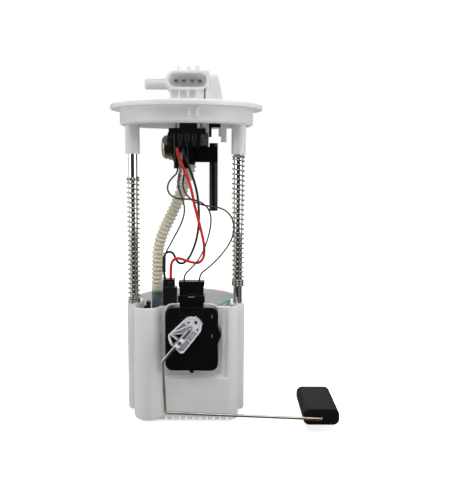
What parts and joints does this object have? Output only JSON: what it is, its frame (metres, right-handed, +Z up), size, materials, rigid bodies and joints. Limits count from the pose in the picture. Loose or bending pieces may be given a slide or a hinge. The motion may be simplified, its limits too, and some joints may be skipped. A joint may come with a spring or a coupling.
{
  "type": "fuel pump module",
  "caption": "Hanging fuel pump module: round tank flange with connector and outlet pipe, sprung guide rods, reservoir with pump, and a level sensor with float arm.",
  "frame": {"origin": "on the module's axis, at the sealing underside of the tank flange's rim", "axes": "+Z up out of the tank along the module's axis; +X towards the float; +Y away from the side that carries the level sensor"},
  "size_m": [0.1912, 0.1396, 0.2948],
  "materials": {
    "flange_plastic": "moulded acetal, light grey",
    "reservoir_plastic": "moulded acetal, natural white, slightly translucent",
    "white_plastic": "moulded acetal, white",
    "black_plastic": "moulded nylon, black",
    "rod_steel": "polished steel tube",
    "spring_steel": "drawn spring wire",
    "arm_steel": "drawn stainless wire",
    "can_steel": "passivated drawn steel",
    "pump_steel": "plated drawn steel",
    "terminal_brass": "tinned brass",
    "magnet_ferrite": "sintered ferrite",
    "carbon": "carbon brush",
    "card_ceramic": "ceramic card with printed tracks",
    "hose_plastic": "corrugated nylon, cream",
    "float_rubber": "closed-cell nitrile foam, matt black",
    "valve_rubber": "moulded rubber",
    "clip_green": "translucent green nylon",
    "strainer_mesh": "woven nylon",
    "wire_red": "red wire insulation",
    "wire_black": "black wire insulation",
    "sleeve_clear": "heat-shrink sleeve"
  },
  "bodies": {
    "flange_body": {"tank_flange": "flange_plastic", "flange_terminals": "terminal_brass", "guide_rod_left": "rod_steel", "guide_rod_right": "rod_steel", "rod_clips": "spring_steel", "rod_spring_right": "spring_steel", "harness_plug": "black_plastic", "regulator_holder": "black_plastic", "pressure_regulator": "can_steel", "regulator_o_ring": "valve_rubber", "regulator_clip": "black_plastic", "fuel_hose": "hose_plastic", "wire_pump_positive": "wire_red", "wire_pump_negative": "wire_black", "wire_level_signal": "wire_black", "wire_level_supply": "wire_black", "wire_regulator_ground": "wire_black", "ground_splice": "wire_black", "ground_sleeve": "sleeve_clear"},
    "reservoir_body": {"reservoir_cup": "reservoir_plastic", "inlet_valve": "valve_rubber", "rod_spring_left": "spring_steel", "sensor_housing": "black_plastic", "sensor_card": "card_ceramic", "sensor_plug": "black_plastic", "pump_case": "pump_steel", "pump_magnets": "magnet_ferrite", "pump_outlet_cap": "black_plastic", "pump_inlet_cap": "black_plastic", "pump_brushes": "carbon", "pump_bracket": "black_plastic", "retainer_clip": "clip_green", "inlet_strainer": "strainer_mesh", "pump_plug": "black_plastic"},
    "float_arm_body": {"float_arm_holder": "white_plastic", "wiper": "spring_steel", "float_arm": "arm_steel", "float_retainer": "spring_steel"},
    "float_body": {"float_block": "float_rubber"},
    "pump_rotor_body": {"pump_armature": "pump_steel", "pump_impeller": "black_plastic"},
    "check_valve_body": {"outlet_check_valve": "valve_rubber"}
  },
  "joints": [
    {"name": "reservoir_slide", "type": "slide", "parent": "flange_body", "child": "reservoir_body", "axis": [0, 0, 1], "range_m": [0, 0.05], "stiffness_N_per_m": 600, "deforming": ["rod_spring_left", "rod_spring_right", "fuel_hose", "wire_pump_positive", "wire_pump_negative", "wire_level_signal", "wire_level_supply", "wire_regulator_ground", "ground_splice"]},
    {"name": "float_arm_pivot", "type": "hinge", "parent": "reservoir_body", "child": "float_arm_body", "pos_m": [0.0057, -0.052, -0.1779], "axis": [0, -1, 0], "range_deg": [0, 72]},
    {"name": "float_swivel", "type": "hinge", "parent": "float_arm_body", "child": "float_body", "pos_m": [0.1117, -0.0415, -0.2468], "axis": [0, -1, 0], "continuous": true},
    {"name": "pump_rotor_spin", "type": "hinge", "parent": "reservoir_body", "child": "pump_rotor_body", "pos_m": [-0.014, -0.002, -0.22], "axis": [0, 0, 1], "continuous": true},
    {"name": "outlet_check_valve_lift", "type": "slide", "parent": "reservoir_body", "child": "check_valve_body", "axis": [0, 0, 1], "range_m": [0, 0.002], "stiffness_N_per_m": 20}
  ]
}
